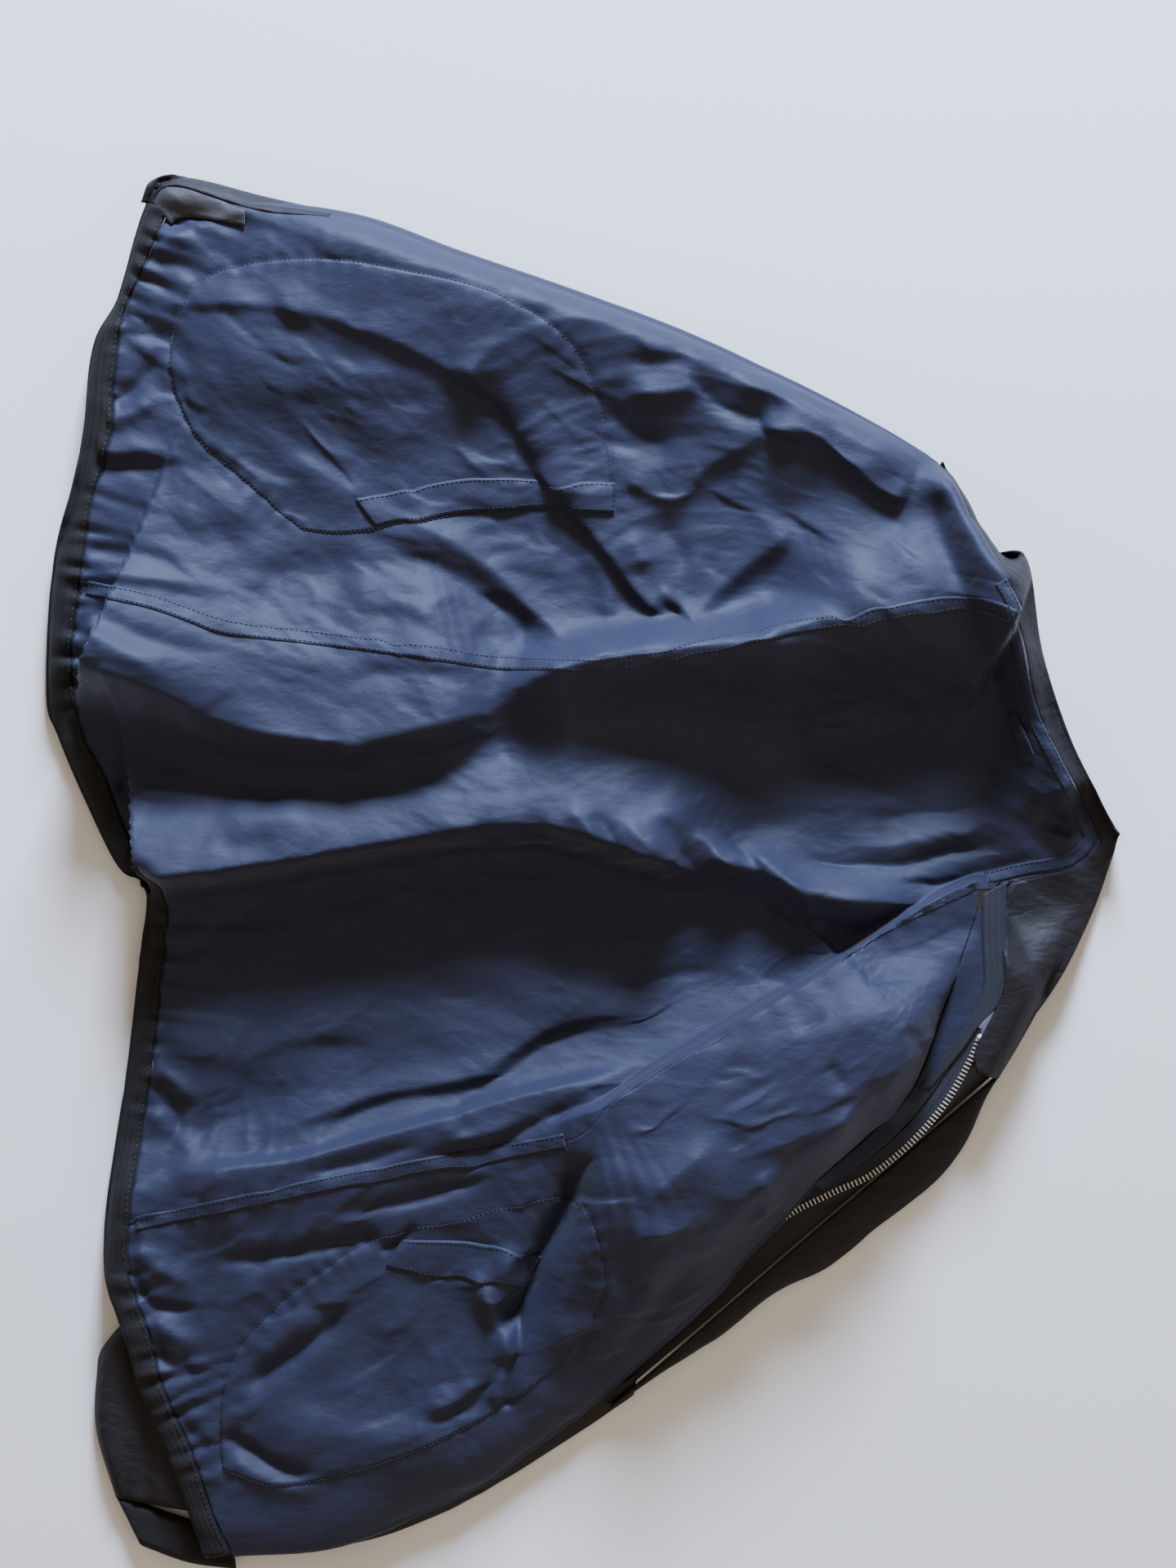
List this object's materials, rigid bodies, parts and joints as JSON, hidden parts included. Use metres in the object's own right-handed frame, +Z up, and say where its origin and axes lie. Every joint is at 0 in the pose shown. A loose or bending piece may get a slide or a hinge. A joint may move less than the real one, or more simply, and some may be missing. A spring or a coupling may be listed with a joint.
{
  "type": "lined zip-front jacket laid open",
  "caption": "Padded zip-front jacket laid open with its navy lining uppermost, with collar, pockets, elastic hem band, sleeves folded beneath and an open-end metal zip.",
  "frame": {"origin": "centre of the laid-out jacket's bounding box, on the surface it lies on", "axes": "+X from the hem to the neck, +Y from the wearer's left front to the right front, +Z up out of the surface"},
  "size_m": [0.6525, 0.8565, 0.0813],
  "materials": {
    "lining_taffeta": "navy plain-weave taffeta with a soft sheen",
    "wadding": "white carded fibre wadding",
    "shell_cloth": "black close-woven shell cloth",
    "twill_band": "black and grey herringbone twill tape",
    "elastic": "covered rubber elastic",
    "zip_tape": "woven zip tape",
    "zip_metal": "antique nickel"
  },
  "bodies": {
    "jacket": {"back_lining": "lining_taffeta", "back_shell": "shell_cloth", "back_wadding": "wadding", "collar_interlining": "wadding", "collar_stand_tape": "twill_band", "collar_under_leaf": "shell_cloth", "collar_upper_leaf": "shell_cloth", "hanger_loop": "twill_band", "hem_band_facing": "twill_band", "hem_band_shell": "shell_cloth", "hem_elastic": "elastic", "insertion_pin": "zip_metal", "left_cuff": "shell_cloth", "left_front_facing": "lining_taffeta", "left_front_lining": "lining_taffeta", "left_front_placket": "shell_cloth", "left_front_shell": "shell_cloth", "left_front_wadding": "wadding", "left_pocket_bag": "lining_taffeta", "left_pocket_mouth_facing": "lining_taffeta", "left_side_seam_tape": "lining_taffeta", "left_sleeve_lining": "lining_taffeta", "left_sleeve_shell": "shell_cloth", "left_top_stop": "zip_metal", "left_zip_tape": "zip_tape", "left_zip_teeth": "zip_metal", "neck_tape": "twill_band", "retainer_box": "zip_metal", "right_cuff": "shell_cloth", "right_front_lining": "lining_taffeta", "right_front_shell": "shell_cloth", "right_front_wadding": "wadding", "right_pocket_bag": "lining_taffeta", "right_pocket_mouth_facing": "lining_taffeta", "right_side_seam_tape": "lining_taffeta", "right_sleeve_lining": "lining_taffeta", "right_sleeve_shell": "shell_cloth", "right_top_stop": "zip_metal", "right_zip_tape": "zip_tape", "right_zip_teeth": "zip_metal"},
    "zip_slider": {"zip_slider": "zip_metal"},
    "pull_tab": {"zip_pull_tab": "zip_metal"},
    "storm_flap": {"storm_flap": "shell_cloth"}
  },
  "joints": [
    {"name": "slider_slide", "type": "slide", "parent": "jacket", "child": "zip_slider", "axis": [0.9399, -0.3416, 0], "range_m": [0, 0.436]},
    {"name": "tab_swing", "type": "hinge", "parent": "zip_slider", "child": "pull_tab", "pos_m": [-0.22437, 0.39905, 0.0019], "axis": [0.3416, 0.9399, 0], "range_deg": [0, 170]},
    {"name": "flap_fold", "type": "hinge", "parent": "jacket", "child": "storm_flap", "pos_m": [0.255, -0.114, 0.009], "axis": [-0.7593, -0.6508, 0], "range_deg": [0, 80]}
  ]
}
